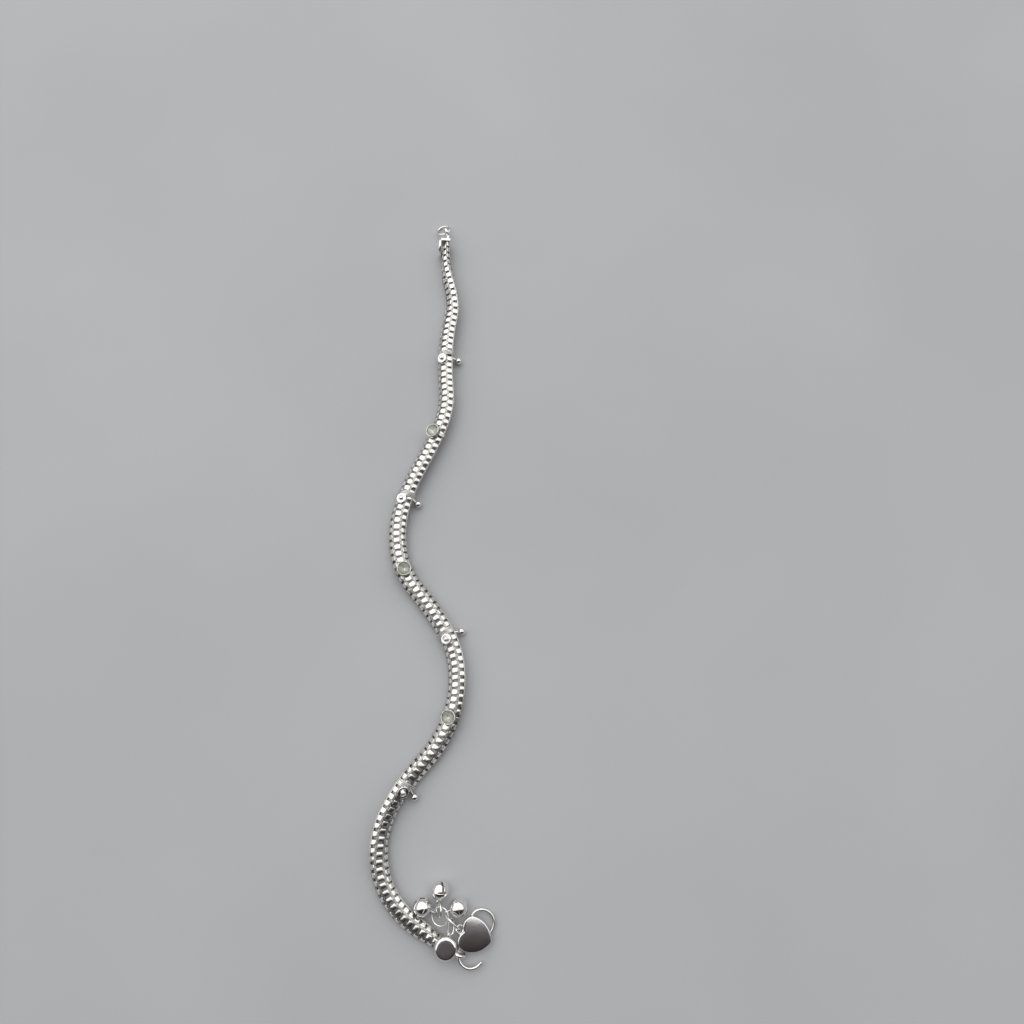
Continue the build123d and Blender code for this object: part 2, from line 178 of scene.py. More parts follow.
# x and y of the line's control points, from the ring end
ROUTE = [
    (0.6, 104.1), (0.2, 95.1), (3.4, 83.6), (1.0, 71.1), (0.8, 59.6), (1.9, 47.1), (-3.2, 34.6),
    (-9.45, 22.6), (-13.25, 9.6), (-11.05, -3.9), (-2.0, -14.4), (5.5, -26.4), (6.45, -39.9),
    (1.95, -52.9), (-8.4, -63.9), (-15.3, -76.4), (-14.3, -90.4), (-5.8, -100.9), (5.5, -106.75),
]
# distance from the ring end, and turn of the chain's face toward +X in degrees
ROLLS = [
    (0, -87), (6, -80), (15, -55), (27, -28), (41, -26), (66, -22), (89, -20), (100, -5), (111, 8),
    (122, 0), (135, -18), (150, -18), (158, -10), (172, 2), (186, 28), (197, 25), (208, 0), (218, -8),
    (229, 0), (240, 0),
]
COLUMNS = 6
PLATE_SHARE = 0.66  # a plate's part of its column's width
PLATE_PITCH, PLATE_LENGTH, PLATE_DEPTH, PLATE_SINK = 2.06, 1.38, 0.4, 0.03
PLATE_RIM, PLATE_CURVE = 0.09, 9.0
PLATE_TILT = 2.0  # degrees, the play of each plate in its neighbours
FIRST_PLATE, LAST_PLATE = 0.8, 0.75  # how near the chain's two ends a plate's middle comes
LEG_LENGTH, LEG_REACH, LEG_SINK, LEG_THICK = 0.88, 0.38, 0.1, 0.14
INSIDE_SINK, INSIDE_STEP, INSIDE_INSET = 0.6, 2.0, 0.3  # the tube's dull inside, deep under the plates

line_curve = bpy.data.curves.new("chain_line", "CURVE")
line_curve.dimensions = "3D"
line_curve.resolution_u = 32
spline = line_curve.splines.new("NURBS")
spline.points.add(len(ROUTE) - 1)
for point, (x, y) in zip(spline.points, ROUTE):
    point.co = (x, y, 0, 1)
spline.order_u = 3
spline.use_endpoint_u = True
line_holder = bpy.data.objects.new("chain_line", line_curve)
line_points = [vertex.co.copy() for vertex in bpy.data.meshes.new_from_object(line_holder).vertices]
line_steps = [(after - before).length for before, after in zip(line_points, line_points[1:])]
line_tangents = [
    (line_points[min(index + 1, len(line_steps))] - line_points[max(index - 1, 0)]).normalized()
    for index in range(len(line_points))]


def line_at(distance):
    """Point and direction of the chain's line at a distance from its ring end."""
    left = distance * sum(line_steps) / CHAIN_LENGTH
    for index, step in enumerate(line_steps):
        if left <= step or index == len(line_steps) - 1:
            share = left / step
            return (line_points[index].lerp(line_points[index + 1], share),
                    line_tangents[index].lerp(line_tangents[index + 1], share).normalized())
        left -= step


def roll_at(distance):
    """Turn of the chain's face at a distance, eased from row to row of the table."""
    for (start, first), (end, last) in zip(ROLLS, ROLLS[1:]):
        if distance <= end:
            share = (1 - cos(pi * (distance - start) / (end - start))) / 2
            return radians(first + (last - first) * share)


def corners_at(distance, clearance=0.0):
    """Corners of the chain's section, clockwise from its face's left, as (across, out)."""
    share = max(0, min(1, distance / TAPER, (CHAIN_LENGTH - distance) / TAPER))
    width = END_WIDTH + (CHAIN_WIDTH - END_WIDTH) * share
    thick = END_THICK + (CHAIN_THICK - END_THICK) * share
    flat = END_FLAT + (CHAIN_FLAT - END_FLAT) * share
    slope = atan2(thick / 2, (width - flat) / 2)
    edge, rise = width / 2 + clearance / sin(slope), thick / 2 + clearance
    shoulder = edge - rise / tan(slope)
    return [Vector(corner) for corner in (
        (-shoulder, rise), (shoulder, rise), (edge, 0), (shoulder, -rise), (-shoulder, -rise), (-edge, 0))]


def seat(origin, out, across=None):
    """Matrix of a place: its Z points out, and its X as near as it can to across."""
    z_axis = Vector(out).normalized()
    x_axis = Vector(across) if across else z_axis.orthogonal()
    x_axis = (x_axis - z_axis * x_axis.dot(z_axis)).normalized()
    matrix = Matrix((x_axis, z_axis.cross(x_axis), z_axis)).transposed().to_4x4()
    matrix.translation = origin
    return matrix


def face_at(distance):
    """Place of the chain's face, on its line: X across it, Y back toward the ring end, Z out of it."""
    origin, along = line_at(distance)
    roll = roll_at(distance)
    share = min(1, distance / WRAP_RUN, (CHAIN_LENGTH - distance) / WRAP_RUN)
    wrapped = corners_at(distance, (WRAP_GAP + WRAP_THICK) * share)
    depth = max(corner.x * sin(roll) - corner.y * cos(roll) for corner in wrapped)
    origin.z = max(depth, RING_END_HEIGHT - RING_END_FALL * distance)
    side = Vector((-along.y, along.x, 0))
    out = side * sin(roll) + Vector((0, 0, 1)) * cos(roll)
    return seat(origin, out, side * cos(roll) - Vector((0, 0, 1)) * sin(roll))


def join(bm, part, place):
    """Adds a finished small mesh to a larger one at a place."""
    bmesh.ops.transform(part, verts=part.verts, matrix=place)
    mesh = bpy.data.meshes.new("part")
    part.to_mesh(mesh)
    part.free()
    bm.from_mesh(mesh)
    bpy.data.meshes.remove(mesh)


def column_seat(distance, column):
    """Place of one column of plates: X across it, Z out of it, on its outer surface. Also its width."""
    corners = corners_at(distance)
    first, last = corners[column], corners[(column + 1) % COLUMNS]
    run = (last - first).normalized()
    middle = (first + last) / 2
    face = face_at(distance)
    across, out = face.col[0].xyz, face.col[2].xyz
    origin = face.translation + across * middle.x + out * middle.y
    place = seat(origin, across * -run.y + out * run.x, across * run.x + out * run.y)
    return place, (last - first).length


def add_plate(bm, place, width):
    """One plate: a shallow block with rounded corners and rim, curved across, just under its place."""
    plate = bmesh.new()
    block = Matrix.Translation((0, 0, -PLATE_DEPTH / 2))
    block = block @ Matrix.Diagonal((width, PLATE_LENGTH, PLATE_DEPTH, 1))
    bmesh.ops.create_cube(plate, size=1.0, matrix=block)
    rim = [edge for edge in plate.edges if max(vertex.co.z for vertex in edge.verts) > -PLATE_DEPTH / 2]
    bmesh.ops.bevel(plate, geom=rim, offset=PLATE_RIM, segments=2, profile=0.5, affect="EDGES", material=-1)
    for cut in (-width / 6, width / 6):  # in thirds, to bend at
        bmesh.ops.bisect_plane(plate, geom=plate.verts[:] + plate.edges[:] + plate.faces[:],
                               plane_co=(cut, 0, 0), plane_no=(1, 0, 0))
    for vertex in plate.verts:
        vertex.co.z -= vertex.co.x**2 / (2 * PLATE_CURVE)
    join(bm, plate, place)


def add_legs(bm, distance, column):
    """The strap under a plate, whose two ends hook down into the columns beside it."""
    inner = corners_at(distance, -LEG_SINK)
    before, left, right, after = (inner[(column + step) % COLUMNS] for step in (-1, 0, 1, 2))
    path = (left + (before - left).normalized() * LEG_REACH, left, right,
            right + (after - right).normalized() * LEG_REACH)
    legs = bmesh.new()
    bends = [legs.verts.new((point.x, LEG_LENGTH / 2, point.y)) for point in path]
    lines = [legs.edges.new(pair) for pair in zip(bends, bends[1:])]
    sheet = bmesh.ops.extrude_edge_only(legs, edges=lines)["geom"]
    bmesh.ops.translate(legs, verts=[item for item in sheet if isinstance(item, bmesh.types.BMVert)],
                        vec=(0, -LEG_LENGTH, 0))
    bmesh.ops.recalc_face_normals(legs, faces=legs.faces)
    bmesh.ops.solidify(legs, geom=legs.faces[:], thickness=LEG_THICK)
    for face in legs.faces:
        # slot 1 is the legs' satin silver, darkened with painted shade
        face.material_index = 1  # the legs' own silver
    join(bm, legs, face_at(distance))


def silver(name, clean, dull, rough, wave, grain):
    """A silver material. Rough is its lowest and highest roughness. Wave and grain are the size in mm of the
    surface's slow unevenness and of its fine scratches, and the height of each in thousandths of a mm."""
    material, tree, surface = new_material(name)
    place = add_node(tree, "TexCoord").outputs["Object"]
    slow = add_node(tree, "TexNoise", {"Vector": place, "Scale": 1 / (wave[0] * MM), "Detail": 2.0})
    fine = add_node(tree, "TexNoise", {"Vector": place, "Scale": 1 / (grain[0] * MM), "Detail": 3.0})
    uneven = add_node(tree, "Bump", {"Height": slow.outputs["Fac"], "Distance": wave[1] * MM * MM})
    scratched = add_node(tree, "Bump", {
        "Height": fine.outputs["Fac"], "Distance": grain[1] * MM * MM, "Normal": uneven.outputs["Normal"]})
    worn = add_node(tree, "MapRange", {
        "Value": fine.outputs["Fac"], "From Min": 0.3, "From Max": 0.7,
        "To Min": rough[0], "To Max": rough[1]})
    metal = add_node(tree, "BsdfPrincipled", {
        "Base Color": colour_ramp(tree, slow.outputs["Fac"], (0.35, dull), (0.6, clean)),
        "Metallic": 1.0,
        "Roughness": worn.outputs["Result"],
        "Normal": scratched.outputs["Normal"],
    })
    tree.links.new(metal.outputs["BSDF"], surface)
    return material


# Die-pressed sterling silver, barrel polished: a near mirror, softened a little by the tumbling.
pressed_silver = silver(
    "pressed_tumbled_silver", clean="#f8f7f4", dull="#efece6", rough=(0.10, 0.22), wave=(1.1, 14),
    grain=(0.12, 1.0))
# The legs sit below the plates, out of the tumbling stones' reach, and keep the press's satin finish. Their
# darker grey is painted shade for the gaps between the plates.
leg_silver_painted_shade = silver(
    "satin_silver_legs_painted_shade", clean="#c8c5bf", dull="#a8a59e", rough=(0.3, 0.42), wave=(0.8, 10),
    grain=(0.15, 2.5))
# The inside of the tube was never polished, and has gone dull. Its dark grey is partly that dull silver and
# partly painted shade, which gives the gaps between the plates their dark grey.
inside_silver_painted_shade = silver(
    "dull_silver_inside_painted_shade", clean="#a3a19d", dull="#84817b", rough=(0.4, 0.55), wave=(0.8, 10),
    grain=(0.15, 4.0))

random.seed(7)
bm = bmesh.new()
for column in range(COLUMNS):
    distance = FIRST_PLATE + (column % 2) * PLATE_PITCH / 2
    while distance < CHAIN_LENGTH - LAST_PLATE:
        place, width = column_seat(distance, column)
        play = [Matrix.Rotation(radians(random.uniform(-PLATE_TILT, PLATE_TILT)), 4, axis) for axis in "XY"]
        sunk = Matrix.Translation((0, 0, -PLATE_SINK))
        add_plate(bm, place @ sunk @ play[0] @ play[1], width * PLATE_SHARE)
        add_legs(bm, distance, column)
        distance += PLATE_PITCH
chain_plates = new_piece("chain_plates", bm, pressed_silver, leg_silver_painted_shade, smooth=50)
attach(chain_plates, "root")
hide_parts("mesh_chain")

# The tube's inside, deep under the plates: its darker colour is painted shade seen through the gaps.
bm = bmesh.new()
rings = []
steps = round(CHAIN_LENGTH / INSIDE_STEP)
for step in range(steps + 1):
    distance = INSIDE_INSET + (CHAIN_LENGTH - 2 * INSIDE_INSET) * step / steps
    place = face_at(distance)
    loop = bmesh.ops.create_circle(bm, segments=COLUMNS, radius=1.0, cap_ends=step in (0, steps))["verts"]
    for vertex, corner in zip(loop, corners_at(distance, -INSIDE_SINK)):
        vertex.co = place @ Vector((corner.x, 0, corner.y))
    rings.append({edge for vertex in loop for edge in vertex.link_edges})
for first, last in zip(rings, rings[1:]):
    bmesh.ops.bridge_loops(bm, edges=list(first | last))
bmesh.ops.recalc_face_normals(bm, faces=bm.faces)
chain_inside = new_piece("chain_inside", bm, inside_silver_painted_shade, smooth=40)
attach(chain_inside, "root")

# Drop stations: a lathe-turned dish with a ball in its middle sits on the chain's face. A few turns of wire
# beside it lash it to the chain, and hold a short peg with a polished ball out at the chain's +X edge.
DROP_STATIONS = (41, 89, 135.5, 182.5)  # distances along the chain
DISH_DIAMETER, DISH_HEIGHT, DISH_RIM = 3.2, 0.6, 0.2
GROOVE_DIAMETER, GROOVE_WIRE = 2.0, 0.3
DISH_BALL = 1.5
BAND_OFFSET, BAND_WIDTH, BAND_TURNS, BAND_WIRE = 1.9, 1.6, 4, 0.28
BAND_SLANT = 0.5  # how far along the chain a turn runs from side to side
WRAP_ROUND, WRAP_BEND, WRAP_PULL = 0.25, 0.08, 0.12  # where a wrap leaves each run, bends, and is pulled in
DROP_BALL, DROP_OFFSET, DROP_SPACE, DROP_HEIGHT = 2.2, 0.3, 0.42, 1.15
PEG_DIAMETER, PEG_DEPTH, PEG_REACH = 0.7, 0.7, 1.4


def chain_edge(distance):
    """How far the chain reaches to +X of its line."""
    roll = roll_at(distance)
    return max(corner.x * cos(roll) + corner.y * sin(roll) for corner in corners_at(distance))


def arc(centre, radius, start, end, steps):
    """Points round a centre, from one angle to another in degrees."""
    angles = [radians(start + (end - start) * step / steps) for step in range(steps + 1)]
    return [(centre[0] + radius * cos(angle), centre[1] + radius * sin(angle)) for angle in angles]


def turn(bm, profile, place, steps=48):
    """Turns a profile of (radius, height) points about the Z of a place, as on a lathe."""
    part = bmesh.new()
    points = [part.verts.new((radius, 0, height)) for radius, height in profile]
    lines = [part.edges.new(pair) for pair in zip(points, points[1:])]
    bmesh.ops.spin(part, geom=points + lines, cent=(0, 0, 0), axis=(0, 0, 1), angle=tau, steps=steps,
                   use_merge=True, use_duplicate=False)
    bmesh.ops.remove_doubles(part, verts=part.verts, dist=1e-4)
    bmesh.ops.recalc_face_normals(part, faces=part.faces)
    join(bm, part, place)


def add_ball(bm, centre, diameter):
    """A polished ball."""
    bmesh.ops.create_uvsphere(bm, u_segments=32, v_segments=16, radius=diameter / 2,
                              matrix=Matrix.Translation(centre))


def draw_wire(bm, points, diameter, closed=False, sides=10):
    """A round wire through points."""
    curve = bpy.data.curves.new("wire", "CURVE")
    curve.dimensions = "3D"
    curve.bevel_depth = diameter / 2
    curve.bevel_resolution = sides // 2 - 2
    curve.use_fill_caps = True
    line = curve.splines.new("POLY")
    line.points.add(len(points) - 1)
    for point, co in zip(line.points, points):
        point.co = (*co, 1)
    line.use_cyclic_u = closed
    mesh = bpy.data.meshes.new_from_object(bpy.data.objects.new("wire", curve))
    bm.from_mesh(mesh)
    bpy.data.meshes.remove(mesh)


def wrap_points(distance, clearance, slant=0.0):
    """Points round the chain at a clearance, with rounded corners, slanting along it from side to side."""
    corners = corners_at(distance, clearance)
    place = face_at(distance)
    points = []
    for index, corner in enumerate(corners):
        before, after = corners[index - 1], corners[(index + 1) % COLUMNS]
        middle = (corner + before.lerp(after, 0.5)) / 2
        for neighbour, share, pull in ((before, WRAP_ROUND, 0), (before, WRAP_BEND, WRAP_PULL),
                                       (after, WRAP_BEND, WRAP_PULL), (after, WRAP_ROUND, 0)):
            near = corner.lerp(neighbour, share).lerp(middle, pull)
            points.append(place @ Vector((near.x, slant * near.x / CHAIN_WIDTH, near.y)))
    return points


# Sterling silver turned or cast, and buffed on a mop: a mirror with a faint unevenness from the mop.
buffed_silver = silver(
    "buffed_silver", clean="#f7f6f4", dull="#f2f0ec", rough=(0.05, 0.12), wave=(1.6, 8), grain=(0.15, 0.5))
# Sterling silver wire, drawn through dies and lightly polished: bright, with a soft grain.
drawn_silver = silver(
    "drawn_silver_wire", clean="#f5f4f1", dull="#eae7e0", rough=(0.12, 0.24), wave=(0.7, 8), grain=(0.1, 0.8))

seat_height = CHAIN_THICK / 2 + WRAP_GAP
for number, distance in enumerate(DROP_STATIONS, 1):
    face = face_at(distance) @ Matrix.Translation((0, 0, seat_height))
    bm = bmesh.new()
    rim_centre = (DISH_DIAMETER / 2 - DISH_RIM, DISH_HEIGHT - DISH_RIM)
    ball_top = arc((0, DISH_HEIGHT), DISH_BALL / 2, 90, 10, 8)
    groove = arc((GROOVE_DIAMETER / 2, DISH_HEIGHT), GROOVE_WIRE / 2, 180, 360, 6)
    turn(bm, ball_top + groove + arc(rim_centre, DISH_RIM, 90, 0, 5) + [(DISH_DIAMETER / 2, 0), (0, 0)], face)
    band_place = distance - BAND_OFFSET
    for lap in range(BAND_TURNS):
        shift = (lap / (BAND_TURNS - 1) - 0.5) * (BAND_WIDTH - BAND_WIRE)
        lap_points = wrap_points(band_place + shift, WRAP_GAP + BAND_WIRE / 2, BAND_SLANT)
        draw_wire(bm, lap_points, BAND_WIRE, closed=True)
    origin, along = line_at(distance - DROP_OFFSET)
    edge = chain_edge(distance - DROP_OFFSET)
    centre = origin + Vector((-along.y, along.x, 0)) * (edge + DROP_SPACE + DROP_BALL / 2)
    centre.z = DROP_HEIGHT
    foot = face_at(band_place).translation
    inward = (foot - centre).normalized()
    peg = [centre + inward * reach for reach in (DROP_BALL / 2 - PEG_DEPTH, DROP_BALL / 2 + PEG_REACH)]
    draw_wire(bm, peg, PEG_DIAMETER, sides=16)
    station = new_piece(f"drop_station_{number}_turned", bm, buffed_silver, smooth=45)
    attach(station, "root")
    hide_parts(f"drop_station_{number}")
    bm = bmesh.new()
    add_ball(bm, centre, DROP_BALL)
    ball = new_piece(f"drop_ball_{number}_polished", bm, buffed_silver, smooth=180)
    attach(ball, "root")
    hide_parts(f"drop_ball_{number}")

# Stone stations: a turned bezel cup soldered to a band that goes round the chain, its rim rubbed over a
# round clear cut stone. The stone's back is silvered like a foil, so that it shines although it is small.
STONE_STATIONS = (66, 111, 158.5)  # distances along the chain
BEZEL_DIAMETER, BEZEL_HEIGHT, BEZEL_FLOOR, BEZEL_RIM, BEZEL_FOOT = 4.3, 1.5, 0.35, 0.16, 0.1
BEZEL_BAND_WIDTH, BEZEL_BAND_THICK = 0.9, 0.25
STONE_DIAMETER, STONE_TABLE, STONE_DEPTH, STONE_CROWN, STONE_GIRDLE = 3.4, 2.1, 0.9, 0.55, 0.1
STONE_GAP = 0.1
# the ring of corners half way down the crown and down the pavilion, as shares of the stone's sizes
CROWN_SPREAD, CROWN_DROP, PAVILION_SPREAD, PAVILION_DROP = 0.42, 0.5, 0.24, 0.42


def cut_stone(bm, place):
    """A round brilliant: table, star and kite facets, girdle, and a pavilion down to a point."""
    # points in each ring, place of the first in degrees, the ring's radius and height
    rings = (
        (8, 0.0, STONE_TABLE / 2, STONE_DEPTH + STONE_CROWN),
        (8, 22.5, STONE_DIAMETER * CROWN_SPREAD, STONE_DEPTH + STONE_CROWN * CROWN_DROP),
        (16, 11.25, STONE_DIAMETER / 2, STONE_DEPTH + STONE_GIRDLE / 2),
        (16, 11.25, STONE_DIAMETER / 2, STONE_DEPTH - STONE_GIRDLE / 2),
        (8, 22.5, STONE_DIAMETER * PAVILION_SPREAD, STONE_DEPTH * PAVILION_DROP),
    )
    part = bmesh.new()
    part.verts.new((0, 0, 0))
    for count, start, radius, height in rings:
        spread = Matrix.Translation((0, 0, height)) @ Matrix.Rotation(radians(start), 4, "Z")
        bmesh.ops.create_circle(part, segments=count, radius=radius, matrix=spread)
    bmesh.ops.convex_hull(part, input=part.verts)
    loose = [edge for edge in part.edges if not edge.link_faces]
    bmesh.ops.delete(part, geom=loose, context="EDGES")
    bmesh.ops.dissolve_limit(part, angle_limit=radians(1), verts=part.verts, edges=part.edges)
    bmesh.ops.recalc_face_normals(part, faces=part.faces)
    for face in part.faces:
        face.material_index = 1 if face.normal.z < -0.1 else 0  # foil on what looks down
    join(bm, part, place)


# Crown glass, cut and polished, with a faint green-grey cast: sharp facets that show the foil behind them.
clear_stone, tree, surface = new_material("cut_clear_stone")
glass = add_node(tree, "BsdfPrincipled", {
    "Base Color": linear("#fafbf6"), "Roughness": 0.02, "IOR": 1.5, "Transmission Weight": 1.0})
tree.links.new(glass.outputs["BSDF"], surface)
# The stone's back is coated with a thin bright silver film, a little cloudy with age.
FOIL_CLOUD = 0.6
mirror_foil, tree, surface = new_material("silver_foil_back")
place = add_node(tree, "TexCoord").outputs["Object"]
cloud = add_node(tree, "TexNoise", {"Vector": place, "Scale": 1 / (FOIL_CLOUD * MM), "Detail": 2.0})
foil = add_node(tree, "BsdfPrincipled", {
    "Base Color": colour_ramp(tree, cloud.outputs["Fac"], (0.35, "#e2e4da"), (0.65, "#f7f8f2")),
    "Metallic": 1.0, "Roughness": 0.5})
tree.links.new(foil.outputs["BSDF"], surface)

# Sterling silver turned and rubbed over the stone with a steel tool: brighter than satin, but not a mirror.
bezel_silver = silver(
    "burnished_bezel_silver", clean="#dad8d2", dull="#bcb9b2", rough=(0.2, 0.32), wave=(0.8, 10),
    grain=(0.15, 2.0))

for number, distance in enumerate(STONE_STATIONS, 1):
    face = face_at(distance) @ Matrix.Translation((0, 0, seat_height))
    outer, inner = BEZEL_DIAMETER / 2, STONE_DIAMETER / 2 + STONE_GAP
    bm = bmesh.new()
    rim_outer = arc((outer - BEZEL_RIM, BEZEL_HEIGHT - BEZEL_RIM), BEZEL_RIM, 0, 90, 5)
    rim_inner = arc((inner + BEZEL_RIM, BEZEL_HEIGHT - BEZEL_RIM), BEZEL_RIM, 90, 180, 5)
    turn(bm, [(0, 0), (outer - BEZEL_FOOT, 0), (outer, BEZEL_FOOT)] + rim_outer + rim_inner
         + [(inner, BEZEL_FLOOR), (0, BEZEL_FLOOR)], face)
    band = bmesh.new()
    edges = []
    for along in (-BEZEL_BAND_WIDTH / 2, BEZEL_BAND_WIDTH / 2):
        outside = wrap_points(distance + along, WRAP_GAP + BEZEL_BAND_THICK)
        points = [band.verts.new(point) for point in outside]
        edges += [band.edges.new(pair) for pair in zip(points, points[1:] + points[:1])]
    bmesh.ops.bridge_loops(band, edges=edges)
    bmesh.ops.recalc_face_normals(band, faces=band.faces)
    bmesh.ops.solidify(band, geom=band.faces[:], thickness=BEZEL_BAND_THICK)
    join(bm, band, Matrix())
    bezel = new_piece(f"bezel_{number}_turned", bm, bezel_silver, smooth=45)
    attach(bezel, "root")
    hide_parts(f"bezel_{number}")
    bm = bmesh.new()
    cut_stone(bm, face @ Matrix.Translation((0, 0, BEZEL_FLOOR + STONE_GAP)))
    stone = new_piece(f"stone_{number}_cut", bm, clear_stone, mirror_foil)
    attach(stone, "root")
    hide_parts(f"stone_{number}")

# End caps: a cast and buffed disc with a soft rounded edge, on a block that the chain's last plates are
# soldered into, with a neck and a thick eye. The hook side's cap also has a small eyelet.
CAP_DIAMETER, CAP_THICK, CAP_EDGE, CAP_BACK_EDGE = 6.1, 1.1, 0.8, 0.25
CAP_MIDDLE, CAP_CROWN = 0.45, 0.01  # the disc falls by its crown from its middle to this share of its radius
CAP_REACH, CAP_LIFT, CAP_GAP = 1.5, 1.55, 0.1
BLOCK_WIDTH, BLOCK_LENGTH, BLOCK_EDGE = 3.4, 1.0, 0.2
NECK_DIAMETER = 1.1
EYE_DIAMETER, EYE_WIRE = 2.6, 1.05
# each eye's middle, and the line through its hole
RING_SIDE_EYE = seat((0.5, 108.3, 2.5), (0.857, 0.516, 0))
HOOK_SIDE_EYE = seat((7.75, -107.6, 1.8), (-0.375, -0.9, -0.22))
EYELET_DIAMETER, EYELET_WIRE = 1.5, 0.4
EYELET = seat((5.09, -102.65, 3.22), (0.87, -0.3, 0.39))


def add_ring(bm, place, diameter, wire, steps=40):
    """A closed ring of round wire, by the diameter of the wire's centre line."""
    turn(bm, arc((diameter / 2, 0), wire / 2, 0, 360, 16), place, steps)


def add_end_cap(bm, distance, outward, eye):
    """The cap's disc, block, neck and eye. Outward is +1 or -1 along its face's Y."""
    face = face_at(distance)
    radius = CAP_DIAMETER / 2
    edge = arc((radius - CAP_EDGE, CAP_THICK - CAP_EDGE), CAP_EDGE, 90, 0, 8)
    back = arc((radius - CAP_BACK_EDGE, CAP_BACK_EDGE), CAP_BACK_EDGE, 0, -90, 4)
    turn(bm, [(0, CAP_THICK), (radius * CAP_MIDDLE, CAP_THICK - CAP_CROWN)] + edge + back + [(0, 0)],
         face @ Matrix.Translation((0, 0, CAP_LIFT)), steps=64)
    block = bmesh.new()
    bottom, top = -END_THICK / 2, CAP_LIFT + CAP_BACK_EDGE
    size = Matrix.Diagonal((BLOCK_WIDTH, BLOCK_LENGTH, top - bottom, 1))
    bmesh.ops.create_cube(block, size=1.0, matrix=size)
    bmesh.ops.bevel(block, geom=block.edges[:], offset=BLOCK_EDGE, segments=3, profile=0.5, affect="EDGES",
                    material=-1)
    reach = outward * (CAP_REACH + CAP_GAP + BLOCK_LENGTH / 2)
    join(bm, block, face @ Matrix.Translation((0, reach, (top + bottom) / 2)))
    neck_start = face @ Vector((0, reach, 0))
    axis = eye.col[2].xyz
    spoke = neck_start - eye.translation
    spoke = (spoke - axis * spoke.dot(axis)).normalized()
    draw_wire(bm, [neck_start, eye.translation + spoke * EYE_DIAMETER / 2], NECK_DIAMETER, sides=20)
    add_ring(bm, eye, EYE_DIAMETER, EYE_WIRE)


for name, distance, outward, eye in (
        ("ring_side", CAP_REACH, 1, RING_SIDE_EYE),
        ("hook_side", CHAIN_LENGTH - CAP_REACH, -1, HOOK_SIDE_EYE)):
    bm = bmesh.new()
    add_end_cap(bm, distance, outward, eye)
    if name == "hook_side":
        add_ring(bm, EYELET, EYELET_DIAMETER, EYELET_WIRE)
    cap = new_piece(f"end_cap_{name}_cast", bm, buffed_silver, smooth=40)
    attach(cap, "root")
    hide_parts(f"end_cap_{name}")

# End ring: a plain ring of drawn silver wire, closed through the ring side's eye. It hangs from the eye and
# its far edge is on the table.
END_RING_DIAMETER, END_RING_WIRE = 4.4, 0.56
END_RING_LEAN = Vector((-0.5, 0.72, -0.48)).normalized()  # from the eye to the ring's centre
eye_axis = RING_SIDE_EYE.col[2].xyz
bm = bmesh.new()
add_ring(bm, seat(RING_SIDE_EYE.translation + END_RING_LEAN * END_RING_DIAMETER / 2,
                  END_RING_LEAN.cross(eye_axis), eye_axis), END_RING_DIAMETER, END_RING_WIRE, steps=64)
end_ring = new_piece("end_ring_drawn", bm, drawn_silver, smooth=180)
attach(end_ring, "root")
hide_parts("end_ring")

# S-hook: one length of stout drawn silver wire, bent into two open loops with a straight shank between, its
# ends rounded. It lies flat with a small lean.
HOOK_WIRE, HOOK_LOOP, HOOK_LEAN = 0.85, 3.4, 6.0
HOOK_END = 0.99  # the rounded end's share of the wire's diameter, so that it never breaks through the side
# the lower loop's centre, with the hook's lean
HOOK_PLACE = Matrix.Translation((10.85, -108.15, 1.38)) @ Matrix.Rotation(radians(HOOK_LEAN), 4, "Y")
UPPER_LOOP = (2.85, 7.85)  # its centre, from the lower loop's centre
UPPER_MOUTH, LOWER_MOUTH = 140, 323  # angles of the free ends
shank_lean = degrees(atan2(UPPER_LOOP[1], UPPER_LOOP[0]))
shank_turn = degrees(acos(2 * HOOK_LOOP / hypot(*UPPER_LOOP)))
bm = bmesh.new()
hook_line = (arc(UPPER_LOOP, HOOK_LOOP, UPPER_MOUTH, shank_lean + shank_turn - 180, 48)
             + arc((0, 0), HOOK_LOOP, shank_lean + shank_turn, LOWER_MOUTH, 48))
hook_points = [HOOK_PLACE @ Vector((x, y, 0)) for x, y in hook_line]
draw_wire(bm, hook_points, HOOK_WIRE, sides=20)
for end in (hook_points[0], hook_points[-1]):
    add_ball(bm, end, HOOK_WIRE * HOOK_END)
hook = new_piece("s_hook_bent", bm, drawn_silver, smooth=60)
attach(hook, "root")
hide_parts("s_hook")

# Heart charm: a heart stamped from thick silver sheet, its edges and face buffed to a soft cushion. It lies
# on the hook, and hangs by a wire bail.
HEART_TIP, HEART_TURN = (5.44, 3.4), 160.0  # on the hook, from its lower loop's centre
LOBE_CENTRE, LOBE_RADIUS, LOBE_START = (6.15, 1.9), 2.6, (6.15, 4.5)  # from the heart's tip
HEART_THICK, HEART_EDGE, HEART_GAP = 0.9, 0.32, 0.1
BAIL_DIAMETER, BAIL_WIRE = 2.1, 0.52
BAIL = seat((7.85, -101.5, 2.4), (0.5, 0.2, 0.8))
lobe_start = degrees(atan2(LOBE_START[1] - LOBE_CENTRE[1], LOBE_START[0] - LOBE_CENTRE[0]))
notch = -degrees(asin(LOBE_CENTRE[1] / LOBE_RADIUS))
lobe = [Vector(point) for point in arc(LOBE_CENTRE, LOBE_RADIUS, notch, lobe_start, 20)]
